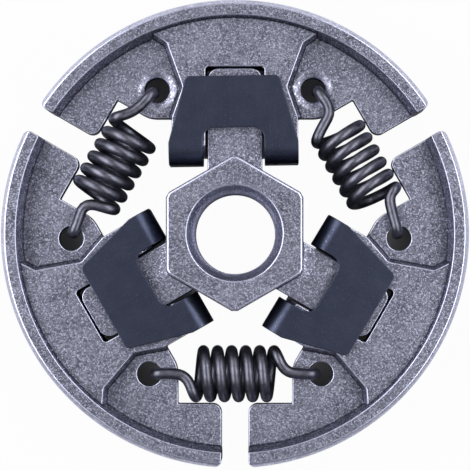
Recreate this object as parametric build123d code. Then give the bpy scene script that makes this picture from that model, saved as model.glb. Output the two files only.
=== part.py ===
from build123d import *

import math
import os

# Centrifugal clutch of a chainsaw, seen in use from the front.
# A sintered carrier screws onto the crankshaft. Its three arms drive three sintered shoes,
# which slide outward into the drum against three extension springs. A folded steel retainer
# on each shoe keeps the shoe in line with its arm.
# Millimetres. Z is the crank axis, the front is up, and the first shoe points along +Y.

# Whole clutch
clutch_diameter = 65.0
shoe_count = 3
shoe_thickness = 12.5
shoe_gap = 3.74

# Shoe: friction rim, thin ears and the thick boss with its two legs
rim_width = 2.1
rim_chamfer = 0.5
rim_end_radius = 0.9
boss_thickness = 9.5
ear_thickness = 3.9
pocket_draft = 9.0
ear_radius = 4.0
finger_distance = 23.7
finger_corner_radius = 1.3
leg_half_width = 8.8
waist_half_width = 7.3
waist_distance = 20.5
shoulder_half_width = 9.5
shoulder_distance = 26.6
shoulder_slope = 34.0
boss_corner_radius = 0.8
slot_side_clearance = 0.3
slot_end_clearance = 0.2
slot_corner_radius = 0.5

# Hook holes in the ears, placed from the line midway between two shoes
hook_hole_diameter = 3.4
hook_hole_distance = 19.55
hook_hole_aside = 12.0
countersink_diameter = 5.6
countersink_slope = 25.0

# Carrier: hexagon, arms, rear boss and threaded bore
hexagon_across_flats = 19.0
hexagon_corner_chamfer = 0.5
hexagon_edge_chamfer = 0.25
carrier_height = 15.0
rear_boss_diameter = 18.0
arm_width = 7.6
arm_thickness = 8.5
arm_length = 23.1
arm_tip_radius = 1.6
root_slope_length = 2.2
root_slope_height = 0.35
thread_minor_diameter = 11.2
thread_relief_diameter = 12.2
lead_in_diameter = 13.3
lead_in_depth = 1.5
rear_bore_chamfer = 0.5

# Retainer, folded from sheet
sheet_thickness = 0.9
sheet_bend_radius = 2.5
retainer_seat_clearance = 0.05
retainer_end_clearance = 0.2
retainer_fold_distance = 10.25
retainer_tip_distance = 21.7
retainer_tip_half_width = 6.5
retainer_base_half_width = 9.05
retainer_shoulder_distance = 12.5
retainer_corner_radius = 0.9
retainer_notch_clearance = 0.5
retainer_notch_distance = 14.5
retainer_notch_radius = 1.6

# Each retainer has play on its shoe. It has slid outward so far and turned by so many degrees
retainer_slides = (0.3, -0.7, 0.45)
retainer_turns = (0.9, -0.3, -1.0)
retainer_hub_gap = 0.14

# Spring. The wire is drawn with flat sides, and its bends with straight steps.
wire_diameter = 1.55
wire_sides = 8
bend_step = 36.0
coil_mean_diameter = 6.5
coil_turns = 5.5
coil_length = 10.84
coil_axis_rise = 1.15
hook_lift = 0.15
hook_wall_gap = 0.1
hook_depth = 4.3
hook_bend_radius = 1.2
hook_lead_rise = 2.0
hook_lead_radius = 1.7
hook_turn_overhang = 2.1
hook_turn_radius = 3.0

# Values that follow from the sizes above
clutch_radius = clutch_diameter / 2
shoe_pitch = 360 / shoe_count
bisector_angle = 90 - shoe_pitch / 2
middle = shoe_thickness / 2
rim_inner_radius = clutch_radius - rim_width
boss_top = middle + boss_thickness / 2
ear_top = middle + ear_thickness / 2
wire_radius = wire_diameter / 2
notch_half_width = arm_width / 2 + retainer_notch_clearance
leg_end_distance = retainer_fold_distance + max(retainer_slides) + retainer_end_clearance
slot_half_width = arm_width / 2 + slot_side_clearance
slot_distance = arm_length + slot_end_clearance


def from_bisector(outward, aside):
    """Point on the first shoe's side of the line midway to the next shoe clockwise."""
    angle = math.radians(bisector_angle)
    return (
        outward * math.cos(angle) - aside * math.sin(angle),
        outward * math.sin(angle) + aside * math.cos(angle),
    )


def placed(shape, index):
    """Turn a shape made at the first shoe to the place of another shoe."""
    return Rot(0, 0, index * shoe_pitch) * shape


def corners(sketch, *points):
    """Corners of a sketch that lie at the given points and at their mirror images."""
    wanted = [Vector(side * x, y) for x, y in points for side in (1, -1)]
    return ShapeList([min(sketch.vertices(), key=lambda v: (v.center() - p).length) for p in wanted])


def mirrored_sketch(half):
    """Both halves of a flat shape that is the same left and right."""
    return half + mirror(half, about=Plane.YZ)


def prism(sketch, low, high):
    """Upright block on a flat shape, from one height to another."""
    return extrude(Pos(0, 0, low) * sketch, high - low)


hook_hole = from_bisector(hook_hole_distance, hook_hole_aside)


def shoe_outline():
    """Shoe as seen from the front, before its slot is cut."""
    ear_foot = hook_hole[1] - ear_radius
    ear_side = from_bisector(hook_hole_distance, hook_hole_aside - ear_radius)
    notch_corner = from_bisector(finger_distance, hook_hole_aside - ear_radius)
    finger_corner = from_bisector(finger_distance, shoe_gap / 2)
    rim_reach = math.sqrt(clutch_radius**2 - (shoe_gap / 2) ** 2)
    rim_corner = from_bisector(rim_reach, shoe_gap / 2)
    edges = Polyline(
        (0, clutch_radius),
        (0, leg_end_distance),
        (leg_half_width, leg_end_distance),
        (leg_half_width, ear_foot),
        (hook_hole[0], ear_foot),
    )
    edges += RadiusArc((hook_hole[0], ear_foot), ear_side, -ear_radius)
    edges += Polyline(ear_side, notch_corner, finger_corner, rim_corner)
    edges += RadiusArc(rim_corner, (0, clutch_radius), -clutch_radius)
    outline = mirrored_sketch(make_face(edges))
    outline = fillet(corners(outline, finger_corner), finger_corner_radius)
    return fillet(corners(outline, rim_corner), rim_end_radius)


def friction_rim():
    """Full ring of the friction rim, with its drafted inner wall."""
    draft = (shoe_thickness - ear_thickness) / 2 * math.tan(math.radians(pocket_draft))
    section = Polyline(
        (rim_inner_radius, 0),
        (clutch_radius - rim_chamfer, 0),
        (clutch_radius, rim_chamfer),
        (clutch_radius, shoe_thickness - rim_chamfer),
        (clutch_radius - rim_chamfer, shoe_thickness),
        (rim_inner_radius, shoe_thickness),
        (rim_inner_radius - draft, ear_top),
        (rim_inner_radius - draft, shoe_thickness - ear_top),
        close=True,
    )
    return revolve(Plane.XZ * make_face(section), Axis.Z)


def boss_and_legs():
    """Thick middle of the shoe, whose pocket walls lean outward to the ears."""
    waist = (waist_half_width, waist_distance)
    shoulder = (shoulder_half_width, shoulder_distance)
    reach = clutch_radius - shoulder_distance
    spread = reach / math.tan(math.radians(shoulder_slope))
    half = make_face(
        Polyline(
            (0, leg_end_distance),
            (leg_half_width, leg_end_distance),
            (leg_half_width, hook_hole[1] - ear_radius),
            waist,
            shoulder,
            (shoulder_half_width + spread, clutch_radius),
            (0, clutch_radius),
            close=True,
        )
    )
    face = mirrored_sketch(half)
    face = Pos(0, 0, boss_top) * fillet(corners(face, waist, shoulder), boss_corner_radius)
    front = extrude(face, boss_thickness / 2, dir=(0, 0, -1), taper=-pocket_draft)
    inside_rim = prism(Circle(clutch_radius - rim_width / 2), 0, shoe_thickness)
    return (front + mirror(front, about=Plane.XY.offset(middle))) & inside_rim


def hook_hole_cutter():
    """Through hole with a shallow countersink at the front of the ear."""
    radius = hook_hole_diameter / 2
    mouth = countersink_diameter / 2
    depth = (mouth - radius) * math.tan(math.radians(countersink_slope))
    section = Polyline(
        (0, 0),
        (radius, 0),
        (radius, ear_top - depth),
        (mouth, ear_top),
        (mouth, shoe_thickness),
        (0, shoe_thickness),
        close=True,
    )
    return revolve(Plane.XZ * make_face(section), Axis.Z)


def make_shoe():
    """Sintered shoe on +Y."""
    outline = shoe_outline()
    ears = prism(outline, shoe_thickness - ear_top, ear_top)
    whole = prism(outline, 0, shoe_thickness)
    shoe = ears + (friction_rim() & whole) + (boss_and_legs() & whole)
    slot = Rectangle(2 * slot_half_width, 2 * slot_distance)
    slot = fillet(corners(slot, (slot_half_width, slot_distance)), slot_corner_radius)
    shoe -= prism(slot, 0, shoe_thickness)
    for side in (1, -1):
        shoe -= Pos(side * hook_hole[0], hook_hole[1], 0) * hook_hole_cutter()
    leg_ends = shoe.faces().filter_by(Plane.XZ).group_by(Axis.Y)[0].edges().filter_by(Axis.X)
    return chamfer(leg_ends, sheet_bend_radius - sheet_thickness - retainer_end_clearance)


def hexagon_plan(across_flats):
    """Hexagon with a corner on each arm."""
    return RegularPolygon(across_flats / 2, 6, major_radius=False, rotation=30)


def root_slopes(arm_high):
    """Low hexagonal hip roof round the hub, whose ridges lie along the arms."""
    eaves = Pos(0, 0, arm_high) * hexagon_plan(hexagon_across_flats + 2 * root_slope_length)
    top = Pos(0, 0, arm_high + root_slope_height) * hexagon_plan(hexagon_across_flats)
    return loft([eaves, top], ruled=True)


def make_carrier():
    """Hexagon hub with its arms and threaded bore."""
    arm_low = middle - arm_thickness / 2
    arm_high = middle + arm_thickness / 2
    hexagon = hexagon_plan(hexagon_across_flats)
    hexagon = chamfer(hexagon.vertices(), hexagon_corner_chamfer)
    arm = Pos(0, arm_length / 2) * Rectangle(arm_width, arm_length)
    arm = fillet(corners(arm, (arm_width / 2, arm_length)), arm_tip_radius)
    hub = prism(hexagon, arm_low, carrier_height)
    carrier = chamfer(hub.edges().group_by(Axis.Z)[-1], hexagon_edge_chamfer)
    rooted_arm = prism(arm, arm_low, arm_high)
    rooted_arm += prism(arm, arm_high, carrier_height) & root_slopes(arm_high)
    for index in range(shoe_count):
        carrier += placed(rooted_arm, index)
    carrier += prism(Circle(rear_boss_diameter / 2), 0, arm_low)
    return carrier - bore_cutter()


def bore_cutter():
    """Threaded bore at its minor diameter, with a long lead-in at the front."""
    minor = thread_minor_diameter / 2
    relief = thread_relief_diameter / 2
    seat = carrier_height - lead_in_depth
    section = Polyline(
        (0, 0),
        (minor + rear_bore_chamfer, 0),
        (minor, rear_bore_chamfer),
        (minor, seat - (relief - minor)),
        (relief, seat),
        (lead_in_diameter / 2, carrier_height),
        (0, carrier_height),
        close=True,
    )
    return revolve(Plane.XZ * make_face(section), Axis.Z)


def make_retainer():
    """Folded clip that hugs the front and back of the shoe and wraps round its leg ends."""
    inner_height = boss_thickness + 2 * retainer_seat_clearance
    fold_outer = retainer_fold_distance - sheet_thickness

    def fold_face(y, height, radius):
        face = Pos((y + clutch_radius) / 2, middle) * Rectangle(clutch_radius - y, height)
        return fillet(face.vertices().sort_by(Axis.X)[:2], radius)

    outer = fold_face(fold_outer, inner_height + 2 * sheet_thickness, sheet_bend_radius)
    inner = fold_face(retainer_fold_distance, inner_height, sheet_bend_radius - sheet_thickness)
    folded = extrude(Plane.YZ * (outer - inner), retainer_base_half_width, both=True)

    half = make_face(
        Polyline(
            (0, 0),
            (retainer_base_half_width, 0),
            (retainer_base_half_width, retainer_shoulder_distance),
            (retainer_tip_half_width, retainer_tip_distance),
            (0, retainer_tip_distance),
            close=True,
        )
    )
    plan = mirrored_sketch(half)
    plan = fillet(
        corners(plan, (retainer_tip_half_width, retainer_tip_distance)), retainer_corner_radius
    )
    notch = Rectangle(2 * notch_half_width, 2 * retainer_notch_distance)
    notch = fillet(corners(notch, (notch_half_width, retainer_notch_distance)), retainer_notch_radius)
    return folded & prism(plan - notch, 0, shoe_thickness)


def seated_retainer(retainer, index):
    """Retainer where it lies in its play, unless the hexagon stops it before."""
    side_angle = math.pi / 6
    stop = (hexagon_across_flats / 2 + retainer_hub_gap) / math.cos(side_angle)
    stop -= notch_half_width * math.tan(side_angle)
    slide = max(retainer_slides[index], stop - (retainer_fold_distance - sheet_thickness))
    return placed(Rot(0, 0, retainer_turns[index]) * Pos(0, slide, 0) * retainer, index)


def stepped(curve, turned):
    """Points along a curve that turns by so many degrees, without its last one."""
    steps = max(1, round(turned / bend_step))
    return [curve @ (step / steps) for step in range(steps)]


def make_spring():
    """Extension spring midway between the first shoe and the next one counterclockwise."""
    axis_height = middle + coil_axis_rise
    coil_radius = coil_mean_diameter / 2
    pitch = coil_length / coil_turns
    start = Plane((0, -coil_length / 2, axis_height), x_dir=(1, 0, 0), z_dir=(0, 1, 0))
    coil = start * Helix(pitch, coil_length, coil_radius)
    hook_height = ear_top + hook_lift + wire_radius
    hook_side = hook_hole_aside - (hook_hole_diameter / 2 - wire_radius - hook_wall_gap)
    lean = pitch / (2 * math.pi * coil_radius) * hook_lead_rise
    turn_side = coil_length / 2 + hook_turn_overhang
    hook = FilletPolyline(
        coil @ 0,
        (coil_radius, -coil_length / 2 - lean, axis_height + hook_lead_rise),
        (0, -turn_side, hook_height),
        (0, -hook_side, hook_height),
        (0, -hook_side, hook_height - hook_depth),
        radius=[hook_lead_radius, hook_turn_radius, hook_bend_radius],
    )
    hook_points = []
    for edge in hook.edges():
        turned = (edge % 0).get_angle(edge % 1)
        hook_points += stepped(edge, turned)
    hook_points.append(hook @ 1)
    other_hook = [Vector(-p.X, -p.Y, p.Z) for p in hook_points]
    route = Polyline(*reversed(hook_points[1:]), *stepped(coil, 360 * coil_turns), *other_hook)
    section = Plane(route @ 0, z_dir=route % 0) * RegularPolygon(wire_radius, wire_sides)
    spring = sweep(section, path=route, transition=Transition.RIGHT)
    return Rot(0, 0, 90 + shoe_pitch / 2) * Pos(hook_hole_distance, 0, 0) * spring


def main():
    parts = {"carrier": make_carrier()}
    shoe = make_shoe()
    turned_shoe = Pos(0, 0, shoe_thickness) * Rot(0, 180, 0) * shoe
    retainer = make_retainer()
    spring = make_spring()
    for index in range(shoe_count):
        number = index + 1
        parts[f"shoe_{number}"] = placed(shoe if index == 0 else turned_shoe, index)
        parts[f"retainer_{number}"] = seated_retainer(retainer, index)
        parts[f"spring_{number}"] = placed(spring, index)
    os.makedirs("parts", exist_ok=True)
    for name, shape in parts.items():
        shape.label = name
        export_step(shape, f"parts/{name}.step")
        print(name, round(shape.volume, 1), shape.is_valid)


main()
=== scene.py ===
# %% [markdown]
# A chainsaw clutch, dressed for the camera
#
# The clutch has ten pieces: a sintered carrier with a hexagon and three arms, three sintered
# shoes, three retainers folded from blued sheet and three coil springs. Their sizes come from
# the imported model. This lesson gives every piece its soft edges, its thread or its wire, and
# a finish that is worked out by nodes.

import math

import bmesh
import bpy
from mathutils import Matrix, Vector
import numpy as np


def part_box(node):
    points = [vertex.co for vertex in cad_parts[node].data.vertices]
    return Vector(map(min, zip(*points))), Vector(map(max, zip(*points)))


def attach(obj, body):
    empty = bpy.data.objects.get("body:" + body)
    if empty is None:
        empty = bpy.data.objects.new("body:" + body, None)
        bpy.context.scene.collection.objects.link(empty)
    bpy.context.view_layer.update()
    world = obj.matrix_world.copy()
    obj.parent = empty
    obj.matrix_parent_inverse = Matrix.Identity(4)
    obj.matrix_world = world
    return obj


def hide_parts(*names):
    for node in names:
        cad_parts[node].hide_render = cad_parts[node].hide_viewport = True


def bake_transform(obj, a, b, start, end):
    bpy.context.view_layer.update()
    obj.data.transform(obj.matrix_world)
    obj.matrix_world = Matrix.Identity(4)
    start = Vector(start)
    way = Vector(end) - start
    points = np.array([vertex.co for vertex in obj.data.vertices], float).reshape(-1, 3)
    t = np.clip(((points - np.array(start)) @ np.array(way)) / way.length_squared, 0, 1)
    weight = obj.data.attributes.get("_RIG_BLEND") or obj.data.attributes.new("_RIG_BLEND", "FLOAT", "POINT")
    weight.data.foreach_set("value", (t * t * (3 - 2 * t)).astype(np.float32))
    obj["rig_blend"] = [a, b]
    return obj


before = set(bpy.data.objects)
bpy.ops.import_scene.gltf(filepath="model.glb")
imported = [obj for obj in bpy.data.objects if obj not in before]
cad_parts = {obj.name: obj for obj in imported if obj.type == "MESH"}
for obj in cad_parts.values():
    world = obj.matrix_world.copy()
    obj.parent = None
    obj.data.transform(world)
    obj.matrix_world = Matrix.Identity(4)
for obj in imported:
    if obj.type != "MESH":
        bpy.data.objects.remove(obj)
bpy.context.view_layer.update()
MM = 0.001
print("nodes:", sorted(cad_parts))

# %% [markdown]
# Sizes
#
# The clutch has three of everything but its carrier, a third of a turn apart. The shoes point
# at 90, 210 and 330 degrees, and a spring lies midway between two shoes. The clutch radius is
# read from the model, and the few sizes that the model can't tell are written here.

# %% Driving sizes, in metres and degrees
SHOE_ANGLES = [90, 210, 330]
SPRING_TURN = 60
clutch_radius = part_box("shoe_1")[1].y
rim_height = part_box("shoe_1")[1].z
hub_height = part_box("carrier")[1].z
shoe_middle = rim_height / 2

sinter_edge = 0.15 * MM
sheet_edge = 0.12 * MM
print("clutch radius", round(clutch_radius / MM, 2), "mm")
print("rim height", round(rim_height / MM, 2), "mm")

# %% [markdown]
# Shader maths as plain expressions
#
# A finish is a mask times a mask plus some noise. Wrapping a socket in a small class with
# Python's operators lets such a formula be written as it is read. Each operator adds one Math
# node. Every node but the output comes from one method of the finish, which sets the node's
# own settings first and then the values or links of its sockets.

# %% A socket that knows its arithmetic


class Value:
    """A number that a node tree works out, with Python's operators."""

    def __init__(self, finish, socket):
        self.finish = finish
        self.socket = socket

    def __add__(self, other):
        return self.finish.maths("ADD", self, other)

    def __sub__(self, other):
        return self.finish.maths("SUBTRACT", self, other)

    def __rsub__(self, other):
        return self.finish.maths("SUBTRACT", other, self)

    def __mul__(self, other):
        return self.finish.maths("MULTIPLY", self, other)

    def __pow__(self, other):
        return self.finish.maths("POWER", self, other)

    def __abs__(self):
        return self.finish.maths("ABSOLUTE", self)

    def over(self, limit):
        """1 where the number is over the limit, and 0 elsewhere."""
        return self.finish.maths("GREATER_THAN", self, limit)

    def greater(self, other):
        """The larger of two numbers."""
        return self.finish.maths("MAXIMUM", self, other)

    def ramp(self, start, end):
        """Rise smoothly from 0 at start to 1 at end, or fall if start is the larger."""
        settings = {"interpolation_type": "SMOOTHSTEP"}
        inputs = {0: self, 1: start, 2: end, 3: 0.0, 4: 1.0}
        return self.finish.node("ShaderNodeMapRange", settings, inputs)

    __radd__ = __add__
    __rmul__ = __mul__


# %% A material under construction


class Finish:
    """A material, or the room, whose node tree is built step by step."""

    def __init__(self, bare):
        self.bare = bare
        bare.use_nodes = True
        self.tree = bare.node_tree
        self.tree.nodes.clear()

    def node(self, kind, settings=None, inputs=None, output=0):
        """Add a node, make its settings, then fill its sockets, and give one of its outputs."""
        made = self.tree.nodes.new(kind)
        for setting, value in (settings or {}).items():
            setattr(made, setting, value)
        for place, value in (inputs or {}).items():
            if isinstance(value, Value):
                self.tree.links.new(value.socket, made.inputs[place])
            else:
                made.inputs[place].default_value = value
        return Value(self, made.outputs[output])

    def maths(self, operation, *numbers):
        """Add one Math node and give its result."""
        return self.node("ShaderNodeMath", {"operation": operation}, dict(enumerate(numbers)))

    def place(self):
        """The point on the object, in metres, as the model has it."""
        return self.node("ShaderNodeTexCoord", output="Object")

    def mark(self, name):
        """A number that the mesh carries on its faces."""
        return self.node("ShaderNodeAttribute", {"attribute_name": name}, output="Fac")

    def parts(self, vector):
        """The x, y and z of a vector."""
        outputs = self.node("ShaderNodeSeparateXYZ", None, {0: vector}).socket.node.outputs
        return [Value(self, output) for output in outputs]

    def ray(self, kind):
        """1 for a ray of this kind, such as Is Camera Ray, and 0 for any other."""
        return self.node("ShaderNodeLightPath", output=kind)

    def noise(self, vector, size, detail=2.0, roughness=0.5):
        """Soft noise about 0.5, whose lumps are about as large as size."""
        inputs = {"Vector": vector, "Scale": 1 / size, "Detail": detail, "Roughness": roughness}
        return self.node("ShaderNodeTexNoise", None, inputs, "Fac")

    def grains(self, vector, size, output):
        """Cells about as large as size: their Distance from the middle or their random Color."""
        inputs = {"Vector": vector, "Scale": 1 / size}
        return self.node("ShaderNodeTexVoronoi", None, inputs, output)

    def blend(self, share, first, second):
        """A colour between two colours."""
        inputs = {"Factor": share, 6: first, 7: second}
        return self.node("ShaderNodeMix", {"data_type": "RGBA"}, inputs, 2)

    def bump(self, height, depth):
        """A normal from a height of 0 to 1 that is worth depth metres."""
        inputs = {"Height": height, "Distance": depth, "Strength": 1.0}
        return self.node("ShaderNodeBump", None, inputs)

    def metal(self, colour, roughness, normal):
        """End the tree in a metal shader, and give the finished material."""
        inputs = {"Base Color": colour, "Metallic": 1.0, "Roughness": roughness, "Normal": normal}
        return self.shown(self.node("ShaderNodeBsdfPrincipled", None, inputs))

    def shown(self, shader, kind="ShaderNodeOutputMaterial"):
        """Join a shader to the output, and give the finished material or room."""
        output = self.tree.nodes.new(kind)
        self.tree.links.new(shader.socket, output.inputs["Surface"])
        return self.bare


# %% [markdown]
# Sintered steel
#
# Carrier and shoes are pressed from iron powder and sintered, then tumbled. Up close such a
# surface is an even bluish grey with many tiny bright grains. Two Voronoi cell patterns of
# different size give the grains, because noise alone looks cloudy and has no sparkle. A high
# power of a cell's random number leaves few cells bright. Fine noise tilts the surface by a
# few hundredths of a millimetre.

# %% Make sintered steel
grain_size = 0.15 * MM
cloud_size = 3.5 * MM
grain_depth = 0.025 * MM
STEEL_DARK = (0.06, 0.06, 0.09, 1)
STEEL_LIGHT = (0.78, 0.8, 1.0, 1)


def sintered_steel(name):
    """Grainy bluish grey metal, with painted highlights on ridges and slopes and painted shade on walls and
    in creases.
    """
    finish = Finish(bpy.data.materials.new(name))
    place = finish.place()
    fine_share, _, _ = finish.parts(finish.grains(place, grain_size, "Color"))
    coarse_share, _, _ = finish.parts(finish.grains(place, grain_size * 1.6, "Color"))
    specks = fine_share ** 8.0
    pore = finish.grains(place, grain_size * 3.5, "Distance").ramp(0.16, 0.05)
    clouds = finish.noise(place, cloud_size, detail=4.0)
    edge = finish.mark("edge")
    painted_wall_shade = finish.mark("painted_wall_shade")
    grain = specks * 2.0 - 0.19 + (coarse_share - 0.5) * 0.25 - pore * 0.1
    # The edge mark paints highlights on ridges and slopes and shade in creases, and the wall mark paints
    # shade on steep walls.
    clouds_and_painted_light = clouds * 0.3 + 0.26 - painted_wall_shade * 0.36 + edge * 0.58
    colour = finish.blend(grain * (1.0 - abs(edge) * 0.6) + clouds_and_painted_light, STEEL_DARK, STEEL_LIGHT)
    roughness = 0.48 - specks * 0.2 + pore * 0.2 - edge * 0.12
    relief = finish.noise(place, grain_size * 2) - pore * 0.3
    normal = finish.bump(relief * (1.0 - abs(edge) * 0.8), grain_depth)
    return finish.metal(colour, roughness, normal)


carrier_steel = sintered_steel("sintered_steel_carrier")
shoe_steel = sintered_steel("sintered_steel_shoe")

# %% [markdown]
# Blued sheet steel
#
# The retainers are stamped and folded from sheet, then blued. The finish is satin and nearly
# even. Fine drawing marks run from the fold towards the shoe, over soft clouds, and light dust
# lies on top. The marks are noise that is stretched forty times along the sheet. Each retainer
# points another way, so each has the pattern turned by its own angle.

# %% Make blued sheet
mark_stretch = 40
mark_width = 0.12 * MM
sheet_cloud_size = 2.4 * MM
dust_size = 0.22 * MM
sheet_relief_depth = 0.01 * MM
SHEET_DARK = (0.044, 0.052, 0.09, 1)
SHEET_LIGHT = (0.16, 0.18, 0.26, 1)


def blued_sheet(name, angle):
    """Satin blue-black metal with marks along the given angle."""
    finish = Finish(bpy.data.materials.new(name))
    turn = (0, 0, math.radians(-angle))
    along = finish.node("ShaderNodeMapping", None, {"Vector": finish.place(), "Rotation": turn})
    stretch = (1 / mark_stretch, 1, 1)
    drawn = finish.node("ShaderNodeMapping", None, {"Vector": along, "Scale": stretch})
    marks = finish.noise(drawn, mark_width, detail=3.0, roughness=0.6)
    clouds = finish.noise(along, sheet_cloud_size, detail=3.0)
    dust = finish.noise(along, dust_size)
    worn = marks.ramp(0.5, 0.75) * 0.15 + clouds * 0.5 + dust.ramp(0.62, 0.72)
    colour = finish.blend(worn, SHEET_DARK, SHEET_LIGHT)
    roughness = 0.42 - worn * 0.12
    normal = finish.bump(marks * 0.5 + dust * 0.5, sheet_relief_depth)
    return finish.metal(colour, roughness, normal)


# %% [markdown]
# Oiled spring wire
#
# The springs are wound from black oiled wire. It mirrors the lamps in long soft streaks, which
# tiny pits and an uneven film of oil break up a little.

# %% Make spring wire
film_size = 0.9 * MM
pit_size = 0.1 * MM
pit_depth = 0.008 * MM
WIRE_DARK = (0.04, 0.042, 0.062, 1)
WIRE_LIGHT = (0.3, 0.305, 0.375, 1)


def spring_wire():
    """Glossy black wire with a thin uneven film of oil."""
    finish = Finish(bpy.data.materials.new("black_spring_wire"))
    place = finish.place()
    film = finish.noise(place, film_size, detail=3.0)
    pits = finish.noise(place, pit_size)
    colour = finish.blend(film, WIRE_DARK, WIRE_LIGHT)
    roughness = 0.36 + film * 0.08 + pits.ramp(0.62, 0.75) * 0.1
    normal = finish.bump(pits, pit_depth)
    return finish.metal(colour, roughness, normal)


wire_finish = spring_wire()

# %% [markdown]
# Soft edges
#
# No pressed or stamped edge is perfectly sharp: it shows as a thin bright line where it turns
# through the light. A model from CAD has sharp edges and loose triangles. So a copy is merged,
# its flat faces are made whole again, and every sharp edge is bevelled in three steps. Big
# faces then keep their flat shading by weighted normals. The sintered finish reads two marks
# from the faces. One paints highlights on the ridges, and weaker ones on the slopes, and paints
# shade in the creases. The other paints shade on the steep walls.

# %% Copy a CAD piece and soften its edges
merge_distance = 0.002 * MM
flat_tolerance = math.radians(1)
smooth_limit = math.radians(35)
bevel_steps = 3
bore_mouth = 6.7 * MM
rim_wall_depth = 0.1 * MM
rim_chamfer_width = 0.5 * MM

# How steep a face is: the upright part of its normal is 1 where it is flat, and 0 on a wall.
flat_limit = 0.95
flank_limit = 0.5
wall_limit = math.sin(math.radians(20))
thread_crest_limit = 0.2

# The mark of an edge is 1 on a ridge, which gets a painted highlight, and -1 in a crease, which gets painted
# shade. Slopes lie between them and get weaker painted highlights.
ridge, crease = 1.0, -1.0
rim_chamfer_painted_highlight = 0.7
countersink_painted_highlight = 0.2
thread_flank_painted_highlight = 0.45
bore_chamfer_painted_highlight = 0.15


def in_scene(name, data):
    """A new object, linked to the scene."""
    made = bpy.data.objects.new(name, data)
    bpy.context.scene.collection.objects.link(made)
    return made


def worked_out(drawn):
    """The mesh that an object shows once its curve or its modifiers are worked out."""
    bpy.context.view_layer.update()
    graph = bpy.context.evaluated_depsgraph_get()
    return bpy.data.meshes.new_from_object(drawn.evaluated_get(graph))


def merged(node):
    """The CAD piece as one closed shell with whole flat faces."""
    shell = bmesh.new()
    shell.from_mesh(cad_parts[node].data)
    bmesh.ops.remove_doubles(shell, verts=shell.verts, dist=merge_distance)
    bmesh.ops.recalc_face_normals(shell, faces=shell.faces)
    bmesh.ops.dissolve_limit(
        shell, angle_limit=flat_tolerance, verts=shell.verts, edges=shell.edges,
        use_dissolve_boundaries=False, delimit={"NORMAL"},
    )
    return shell


def soften(shell, width):
    """Bevel every sharp edge, and mark the new faces as ridge, for a painted highlight, or as crease, for
    painted shade.
    """
    mark = shell.faces.layers.float.new("edge")
    sharp = [e for e in shell.edges if e.calc_face_angle(0) > smooth_limit]
    rounded = bmesh.ops.bevel(
        shell, geom=sharp, offset=width, offset_type="OFFSET", segments=bevel_steps,
        profile=0.5, affect="EDGES", material=-1, clamp_overlap=False,
    )
    # Ridges get a painted highlight and creases get painted shade.
    for face in rounded["faces"]:
        turn = sum(e.calc_face_angle_signed(0) for e in face.edges)
        face[mark] = ridge if turn > 0 else crease


def mark_walls(shell):
    """Mark every steep face for painted shade, but none that was cut later."""
    mark = shell.faces.layers.float.new("painted_wall_shade")
    for face in shell.faces:
        reach = face.calc_center_median().xy.length
        cut = reach > clutch_radius - rim_wall_depth or reach < bore_mouth
        face[mark] = 1.0 if abs(face.normal.z) < wall_limit and not cut else 0.0


def mark_slopes(shell):
    """Mark the slopes for weaker painted highlights, and the thread's crests and roots as creases for
    painted shade.
    """
    mark = shell.faces.layers.float["edge"]
    for face in shell.faces:
        reach = face.calc_center_median().xy.length
        flatness = abs(face.normal.z)
        if face[mark] or flatness > flat_limit:
            continue
        if reach < bore_mouth and flatness > flank_limit:
            face[mark] = thread_flank_painted_highlight
        elif reach < bore_mouth:
            face[mark] = bore_chamfer_painted_highlight if flatness > thread_crest_limit else crease
        elif flatness > wall_limit:
            on_rim = reach > clutch_radius - rim_chamfer_width
            face[mark] = rim_chamfer_painted_highlight if on_rim else countersink_painted_highlight


def finished(shell, name, material):
    """Turn the shell into an object with smooth shading, sharp only at real edges."""
    for face in shell.faces:
        face.smooth = True
    for edge in shell.edges:
        edge.smooth = edge.calc_face_angle(0) < smooth_limit
    mesh = bpy.data.meshes.new(name)
    shell.to_mesh(mesh)
    shell.free()
    mesh.materials.append(material)
    piece = in_scene(name, mesh)
    weights = piece.modifiers.new("flat faces stay flat", "WEIGHTED_NORMAL")
    weights.keep_sharp = True
    return piece


# %% [markdown]
# Shoes
#
# Each shoe is the CAD shoe with softened edges. It slides on its arm, so it rides on its own
# body, and the CAD shoe is hidden.

# %% Make the shoes
for number in (1, 2, 3):
    shell = merged(f"shoe_{number}")
    soften(shell, sinter_edge)
    mark_walls(shell)
    mark_slopes(shell)
    shoe = finished(shell, f"clutch_shoe_{number}", shoe_steel)
    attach(shoe, f"shoe_set_{number}")
    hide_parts(f"shoe_{number}")
    print(shoe.name, len(shoe.data.vertices), "vertices")

# %% [markdown]
# Retainers
#
# A stamped sheet has a small break on its edges, and the rest is the CAD form. Each retainer
# slides with its shoe.

# %% Make the retainers
for number, angle in enumerate(SHOE_ANGLES, start=1):
    shell = merged(f"retainer_{number}")
    soften(shell, sheet_edge)
    sheet = blued_sheet(f"blued_sheet_{number}", angle)
    retainer = finished(shell, f"folded_retainer_{number}", sheet)
    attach(retainer, f"shoe_set_{number}")
    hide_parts(f"retainer_{number}")
    print(retainer.name, len(retainer.data.vertices), "vertices")

# %% [markdown]
# The crankshaft thread
#
# The hub is tapped from end to end with a fine left-hand thread, as a clutch has that the
# engine must not unscrew. The groove of a tap is a V that climbs by one pitch in each turn. A
# zigzag of such Vs is spun once round the axis while it climbs by one pitch, so the turns join
# into one screw. Cut flat at both ends, it is the tap, and a Boolean takes it from the hub.

# %% Cut the thread
thread_radius = 6.0 * MM
thread_root = 5.6 * MM
thread_pitch = 1.0 * MM
thread_flat = 0.12 * MM
thread_steps = 72
weld_distance = 0.001 * MM


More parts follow.
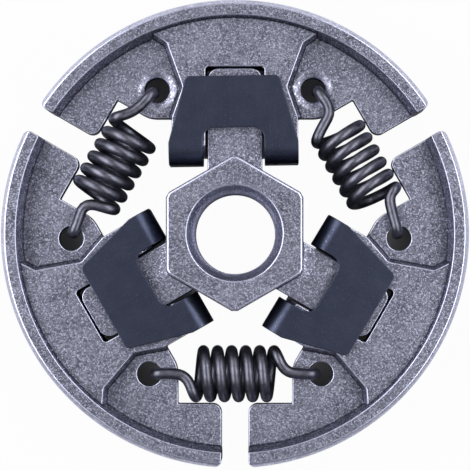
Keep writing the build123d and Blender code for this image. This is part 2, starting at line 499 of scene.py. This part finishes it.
def tap():
    """A screw as large as the thread, a little longer than the hub's bore."""
    screw = bmesh.new()
    low = -2 * thread_pitch
    turns = math.ceil(hub_height / thread_pitch) + 4
    zigzag = []
    for turn in range(turns):
        start = low + turn * thread_pitch
        for radius, rise in (
            (thread_root, 0),
            (thread_root, thread_flat),
            (thread_radius, thread_pitch / 2 - thread_flat / 2),
            (thread_radius, thread_pitch / 2 + thread_flat / 2),
        ):
            zigzag.append(screw.verts.new((radius, 0, start + rise)))
    zigzag.append(screw.verts.new((thread_root, 0, low + turns * thread_pitch)))
    line = [screw.edges.new(pair) for pair in zip(zigzag, zigzag[1:])]
    bmesh.ops.spin(
        screw, geom=zigzag + line, cent=(0, 0, 0), axis=(0, 0, -1), angle=math.tau,
        dvec=(0, 0, thread_pitch / thread_steps), steps=thread_steps, use_merge=False,
    )
    bmesh.ops.remove_doubles(screw, verts=screw.verts, dist=weld_distance)
    for height, outward in ((-0.5 * thread_pitch, -1), (hub_height - 0.4 * thread_pitch, 1)):
        everything = screw.verts[:] + screw.edges[:] + screw.faces[:]
        bmesh.ops.bisect_plane(
            screw, geom=everything, plane_co=(0, 0, height), plane_no=(0, 0, outward),
            clear_outer=True,
        )
    rims = [e for e in screw.edges if e.is_boundary]
    bmesh.ops.holes_fill(screw, edges=rims, sides=0)
    bmesh.ops.recalc_face_normals(screw, faces=screw.faces)
    mesh = bpy.data.meshes.new("tap")
    screw.to_mesh(mesh)
    screw.free()
    return in_scene("tap", mesh)


def threaded(shell):
    """The shell with the thread cut into its bore."""
    mesh = bpy.data.meshes.new("hub blank")
    shell.to_mesh(mesh)
    shell.free()
    blank = in_scene("hub blank", mesh)
    cutter = tap()
    cut = blank.modifiers.new("tap", "BOOLEAN")
    cut.operation = "DIFFERENCE"
    cut.solver = "EXACT"
    cut.object = cutter
    hub = bmesh.new()
    hub.from_mesh(worked_out(blank))
    for each in (blank, cutter):
        bpy.data.objects.remove(each)
    return hub


# %% [markdown]
# Carrier
#
# The hub with its hexagon and arms is softened first and tapped afterwards, so that the thread
# keeps its crisp crests.

# %% Make the carrier
shell = merged("carrier")
soften(shell, sinter_edge)
mark_walls(shell)
hub = threaded(shell)
mark_slopes(hub)
carrier = finished(hub, "threaded_carrier", carrier_steel)
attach(carrier, "carrier")
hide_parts("carrier")
print(carrier.name, len(carrier.data.vertices), "vertices")

# %% [markdown]
# Springs
#
# An extension spring joins two shoes that move apart, so it is made in two halves which meet
# at the middle of the coil. The outer end of each half follows its shoe, its inner end stays,
# and the turns between open up evenly. The wire's line is one quadratic NURBS spline: it
# touches the middle of every run between its control points, so twelve points round a circle
# a little larger than the coil draw true turns, and a few more points draw the hook. The hooks
# were bent by hand, so each has its own path from the heel in its hole to the first turn. The
# turns of the third spring also lean, so that they gape on its outer side.

# %% Sizes of the springs
# A hook's path has three points: how far aside of the coil's axis, and how far from its middle,
# each in millimetres. The lean of the turns is in degrees.
wire_radius = 0.775 * MM
coil_radius = 3.25 * MM
coil_length = 10.84 * MM
coil_turns = 5.5
coil_height = shoe_middle + 1.15 * MM
coil_distance = 19.55 * MM
hook_height = shoe_middle + 2.875 * MM
hook_depth = 4.3 * MM
hook_turn = 1.2 * MM
hook_lead_rise = 2.0 * MM
points_per_turn = 12
SPRING_LEANS = {1: 0, 2: 0, 3: -7}
HOOK_PATHS = {
    (1, "front"): ((0.29, 11.5), (0.8, 9.0), (1.65, 7.2)),
    (1, "back"): ((-0.2, 11.2), (-0.2, 10.1), (-1.0, 6.6)),
    (2, "front"): ((0.0, 11.2), (-0.1, 9.7), (0.1, 6.8)),
    (2, "back"): ((0.0, 11.2), (0.0, 9.4), (0.3, 6.9)),
    (3, "front"): ((0.19, 11.3), (0.8, 9.0), (1.6, 6.2)),
    (3, "back"): ((-0.44, 11.6), (-0.93, 8.25), (1.9, 6.6)),
}


def half_spring_points(path, turn_lean):
    """Control points of one half: up out of the hook hole, into the coil, to its middle."""
    pitch = coil_length / coil_turns
    lean = pitch / (math.tau * coil_radius) * hook_lead_rise
    end = -coil_length / 2
    heel, first, second = [(aside * MM, -along * MM) for aside, along in path]
    points = [
        (*heel, hook_height - hook_depth),
        (*heel, hook_height - 2 * hook_turn),
        (*heel, hook_height),
        (*first, hook_height),
        (*second, hook_height),
        (coil_radius, end - lean, coil_height + hook_lead_rise),
    ]
    step = math.tau / points_per_turn
    round_radius = coil_radius / math.cos(step / 2)
    last = round(coil_turns / 2 * points_per_turn)
    for place in range(last):
        angle = (place + 0.5) * step
        rise = end + pitch * angle / math.tau
        up = -round_radius * math.sin(angle)
        points.append((round_radius * math.cos(angle), rise - up * turn_lean, coil_height + up))
    angle = last * step
    up = -coil_radius * math.sin(angle)
    points.append((coil_radius * math.cos(angle), -up * turn_lean, coil_height + up))
    return points


# %% Make the springs


def wire(points, name):
    """A round wire along a smooth line through the points, as a closed mesh."""
    curve = bpy.data.curves.new(name, "CURVE")
    curve.dimensions = "3D"
    spline = curve.splines.new("NURBS")
    spline.points.add(len(points) - 1)
    for point, where in zip(spline.points, points):
        point.co = (*where, 1)
    spline.order_u = 3
    spline.use_endpoint_u = True
    spline.resolution_u = 5
    curve.bevel_depth = wire_radius
    curve.bevel_resolution = 6
    curve.use_fill_caps = True
    drawn = in_scene(name, curve)
    tube = worked_out(drawn)
    bpy.data.objects.remove(drawn)
    return tube


def half_spring(name, points, place):
    """One half of a spring along its points, set in its place."""
    shell = bmesh.new()
    shell.from_mesh(wire(points, name))
    bmesh.ops.remove_doubles(shell, verts=shell.verts, dist=weld_distance)
    bmesh.ops.transform(shell, matrix=place, verts=shell.verts)
    bmesh.ops.recalc_face_normals(shell, faces=shell.faces)
    piece = finished(shell, name, wire_finish)
    return piece


half_turn = Matrix.Rotation(math.pi, 4, "Z")
to_coil = Matrix.Translation((coil_distance, 0, 0))
for number, angle in enumerate(SHOE_ANGLES, start=1):
    following = number % 3 + 1
    place = Matrix.Rotation(math.radians(angle + SPRING_TURN), 4, "Z") @ to_coil
    middle_point = place @ Vector((0, 0, coil_height))
    turn_lean = math.tan(math.radians(SPRING_LEANS[number]))
    for end, shoe_number, turned, lean in (
        ("front", number, place, turn_lean),
        ("back", following, place @ half_turn, -turn_lean),
    ):
        points = half_spring_points(HOOK_PATHS[number, end], lean)
        piece = half_spring(f"spring_{number}_{end}_half", points, turned)
        coil_end = turned @ Vector((0, -coil_length / 2, coil_height))
        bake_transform(piece, f"shoe_set_{shoe_number}", "carrier", start=coil_end, end=middle_point)
        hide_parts(f"spring_{number}")
        print(piece.name, len(piece.data.polygons), "faces")

# %% [markdown]
# Floor
#
# The clutch lies on a plain pale floor. A camera ray finds it white, and so does a mirror
# ray that lands well away from the clutch, but the light that it throws back is that of a
# pale floor, and a little of the clutch's shadow stays. In the narrow slits round the arms
# and under the ears, where the camera looks down through the hook holes, the floor keeps its
# true shade. On the left the slits start nearer the hub, as they look in the picture.

# %% Make the floor
floor_size = 3.0
floor_drop = 0.02 * MM
open_white = 0.96
slit_white = 0.01
far_floor = clutch_radius * 2.5

# The hook holes lie on one ring, beside the middle of each coil.
hole_aside = 12.0 * MM
hole_ring = math.hypot(coil_distance, hole_aside)
hole_angle = math.atan2(hole_aside, coil_distance)
ear_patch_radius = 3.2 * MM

# A slit runs outward beside each arm, and the left is where x is beyond the left limit.
slit_start = 10.8 * MM
left_slit_start = 8.7 * MM
left_limit = -4.6 * MM
left_full = -5.2 * MM
slit_end = 26 * MM
slit_half_width = 4.4 * MM
slit_blur = 0.2 * MM

floor_cloud_size = 60 * MM
FLOOR_DARK = (0.52, 0.52, 0.53, 1)
FLOOR_LIGHT = (0.58, 0.58, 0.59, 1)


def pale_floor():
    """White to the camera and to distant reflections, and pale to the light."""
    finish = Finish(bpy.data.materials.new("pale_floor"))
    x, y, _ = finish.parts(finish.place())
    reach = (x * x + y * y) ** 0.5
    turn = finish.maths("ARCTAN2", y, x) - math.radians(SPRING_TURN / 2)
    from_spring = finish.maths("PINGPONG", turn, math.radians(SPRING_TURN))
    aside = abs(from_spring - hole_angle) * hole_ring
    under_ear = (abs(reach - hole_ring) ** 2 + aside * aside) ** 0.5
    from_arm = math.radians(SPRING_TURN) - from_spring
    across = finish.maths("SINE", from_arm) * reach
    along = finish.maths("COSINE", from_arm) * reach
    beside_arm = across.ramp(slit_half_width + slit_blur, slit_half_width)
    start = slit_start - x.ramp(left_limit, left_full) * (slit_start - left_slit_start)
    in_slit = beside_arm * (along - start).over(0) * (1.0 - along.over(slit_end))
    open_floor = under_ear.over(ear_patch_radius) * (1.0 - in_slit)
    seen = finish.ray("Is Camera Ray") * (open_floor * open_white + slit_white)
    share = seen.greater(finish.ray("Is Glossy Ray") * reach.over(far_floor))
    clouds = finish.noise(finish.place(), floor_cloud_size)
    colour = finish.blend(clouds, FLOOR_DARK, FLOOR_LIGHT)
    plain = finish.node("ShaderNodeBsdfDiffuse", None, {"Color": colour})
    white = finish.node("ShaderNodeEmission", None, {"Strength": 1.0})
    return finish.shown(finish.node("ShaderNodeMixShader", None, {0: share, 1: plain, 2: white}))


floor_shape = bmesh.new()
bmesh.ops.create_grid(floor_shape, x_segments=1, y_segments=1, size=floor_size / 2)
bmesh.ops.translate(floor_shape, vec=(0, 0, -floor_drop), verts=floor_shape.verts)
floor_mesh = bpy.data.meshes.new("floor")
floor_shape.to_mesh(floor_mesh)
floor_shape.free()
floor_mesh.materials.append(pale_floor())
floor = in_scene("floor", floor_mesh)

# %% [markdown]
# Light
#
# Two long soft boxes hang to the left and the right of the camera, as over a product table.
# Their mirror images are the two streaks on every turn of the springs. They reach further
# towards the top of the picture, where a third one stands behind the clutch, so edges that
# face that way catch a line of light and those that face the viewer stay dark. The room
# itself is dim. It is white to the camera and, near the floor on the far side, to mirror rays.

# %% Hang the lamps
aim = Vector((0, 0, hub_height / 2))


def looking(place, target):
    """The matrix of a camera or lamp at a place that faces a target, with +Y up in its view."""
    backwards = (place - target).normalized()
    sideways = Vector((0, 1, 0)).cross(backwards).normalized()
    upwards = backwards.cross(sideways)
    facing = Matrix((sideways, upwards, backwards)).transposed().to_4x4()
    return Matrix.Translation(place) @ facing


def soft_box(name, place, width, length, brightness):
    """A soft box at a place, facing the clutch, whose length runs towards +Y."""
    lamp = bpy.data.lights.new(name, "AREA")
    lamp.shape = "RECTANGLE"
    lamp.size = width
    lamp.size_y = length
    lamp.energy = brightness * math.pi * width * length
    in_scene(name, lamp).matrix_world = looking(Vector(place), aim)


soft_box("left_soft_box", (-0.30, 0.06, 0.33), 0.3, 0.6, 3.2)
soft_box("right_soft_box", (0.24, 0.06, 0.36), 0.2, 0.6, 3.2)
soft_box("rear_soft_box", (0, 0.42, 0.22), 0.5, 0.16, 0.6)

# %% Dim the room
# Two parts of a ray's direction say where the room is white: its height, and how far it
# points to +Y. Each pair holds where the white begins and where it is full.
white_heights = (0.24, 0.12)
white_depths = (-0.6, 0.1)
ROOM_DIM = (0.12, 0.12, 0.13, 1)
ROOM_WHITE = (1, 1, 1, 1)


def room():
    """A dim room that a camera ray sees as white, and a mirror ray near the floor too."""
    finish = Finish(bpy.data.worlds.new("studio"))
    _, y, height = finish.parts(finish.node("ShaderNodeTexCoord"))
    low = height.ramp(*white_heights) * y.ramp(*white_depths)
    share = finish.ray("Is Camera Ray").greater(finish.ray("Is Glossy Ray") * low)
    dim = finish.node("ShaderNodeBackground", None, {"Color": ROOM_DIM})
    white = finish.node("ShaderNodeBackground", None, {"Color": ROOM_WHITE})
    either = finish.node("ShaderNodeMixShader", None, {0: share, 1: dim, 2: white})
    return finish.shown(either, "ShaderNodeOutputWorld")


bpy.context.scene.world = room()
bpy.context.scene.view_settings.view_transform = "Standard"

# %% [markdown]
# Camera
#
# The clutch is seen from straight in front, which is straight above, from half a metre away.
# Near the vertical the image's up is +Y. The lens is worked out so that the rim fills the
# frame as it does in the picture.

# %% Set up the camera
picture_size = 470
rim_in_picture = 234.3
sensor_width = 36.0
camera_place = Vector((4.83, -7.0, 500.0)) * MM
camera_aim = Vector((0.03, -0.19, rim_height / MM)) * MM

camera_data = bpy.data.cameras.new("camera")
camera_data.sensor_width = sensor_width
rim_distance = (camera_place - camera_aim).length
pixels_per_metre = rim_in_picture / clutch_radius
camera_data.lens = pixels_per_metre * rim_distance * sensor_width / picture_size
camera_data.clip_start = 0.05
camera_data.clip_end = 10
camera = in_scene("camera", camera_data)
camera.matrix_world = looking(camera_place, camera_aim)
bpy.context.scene.camera = camera
print("lens", round(camera_data.lens, 1), "mm")
